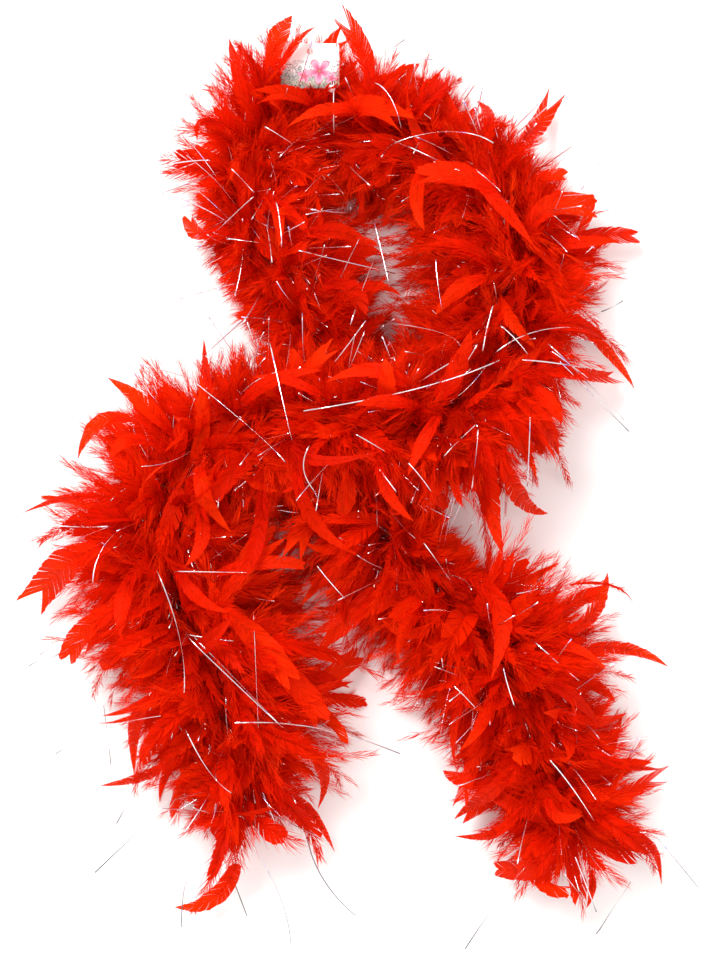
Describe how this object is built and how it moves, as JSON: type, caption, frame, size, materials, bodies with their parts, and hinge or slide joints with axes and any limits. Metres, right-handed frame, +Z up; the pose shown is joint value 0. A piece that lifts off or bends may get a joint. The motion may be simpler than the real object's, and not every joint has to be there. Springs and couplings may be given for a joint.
{
  "type": "feather boa",
  "caption": "Red feather boa with silver tinsel, laid down folded back over itself in a loop with free legs, with a small hang card.",
  "frame": {"origin": "middle of the boa's outline as it lies, on the surface that it lies on", "axes": "+Z up from the surface, +Y from the free ends towards the loop that carries the card, +X to the right"},
  "size_m": [0.5968, 0.8442, 0.1531],
  "materials": {
    "fluff": "matt downy marabou, dyed red",
    "plume": "satin flat feather vane, dyed red",
    "core": "two-ply cotton cord, dyed red",
    "thread": "matt polyester thread, red",
    "tinsel": "metallised film, silver with a faint iridescence",
    "nylon": "clear white nylon filament",
    "card": null
  },
  "bodies": {
    "pile": {"ruff_04": "fluff", "ruff_05": "fluff", "ruff_06": "fluff", "ruff_07": "fluff", "ruff_08": "fluff", "ruff_09": "fluff", "ruff_10": "fluff", "ruff_11": "fluff", "ruff_18": "fluff", "ruff_19": "fluff", "ruff_20": "fluff", "ruff_21": "fluff", "ruff_22": "fluff", "core_pile": "core", "binding_pile": "thread", "plumes_pile": "plume", "tinsel_pile": "tinsel"},
    "loop": {"ruff_12": "fluff", "ruff_13": "fluff", "ruff_14": "fluff", "ruff_15": "fluff", "ruff_16": "fluff", "ruff_17": "fluff", "core_loop": "core", "binding_loop": "thread", "plumes_loop": "plume", "tinsel_loop": "tinsel", "card_fastener": "nylon"},
    "left_leg": {"ruff_02": "fluff", "ruff_03": "fluff", "core_left_leg": "core", "binding_left_leg": "thread", "plumes_left_leg": "plume", "tinsel_left_leg": "tinsel"},
    "left_tail": {"ruff_01": "fluff", "core_left_tail": "core", "binding_left_tail": "thread", "plumes_left_tail": "plume", "tinsel_left_tail": "tinsel", "end_knot_left": "thread"},
    "right_leg": {"ruff_23": "fluff", "ruff_24": "fluff", "core_right_leg": "core", "binding_right_leg": "thread", "plumes_right_leg": "plume", "tinsel_right_leg": "tinsel"},
    "right_tail": {"ruff_25": "fluff", "ruff_26": "fluff", "core_right_tail": "core", "binding_right_tail": "thread", "plumes_right_tail": "plume", "tinsel_right_tail": "tinsel", "end_knot_right": "thread"},
    "card": {"hang_card": "card"}
  },
  "joints": [
    {"name": "left_leg_swing", "type": "hinge", "parent": "pile", "child": "left_leg", "pos_m": [-0.158, -0.085, 0.042], "axis": [0, 0, 1], "range_deg": [-20, 12]},
    {"name": "left_tail_swing", "type": "hinge", "parent": "left_leg", "child": "left_tail", "pos_m": [-0.108, -0.222, 0.042], "axis": [0, 0, 1], "range_deg": [-25, 12]},
    {"name": "right_leg_swing", "type": "hinge", "parent": "pile", "child": "right_leg", "pos_m": [0.05, -0.05, 0.042], "axis": [0, 0, 1], "range_deg": [-12, 20]},
    {"name": "right_tail_swing", "type": "hinge", "parent": "right_leg", "child": "right_tail", "pos_m": [0.14, -0.165, 0.042], "axis": [0, 0, 1], "range_deg": [-12, 25]},
    {"name": "loop_lift", "type": "hinge", "parent": "pile", "child": "loop", "pos_m": [0, 0.235, 0.042], "axis": [1, 0, 0], "range_deg": [0, 45]},
    {"name": "card_flip", "type": "hinge", "parent": "loop", "child": "card", "pos_m": [-0.02, 0.37, 0.0763], "axis": [1, 0, 0], "range_deg": [0, 90]}
  ]
}
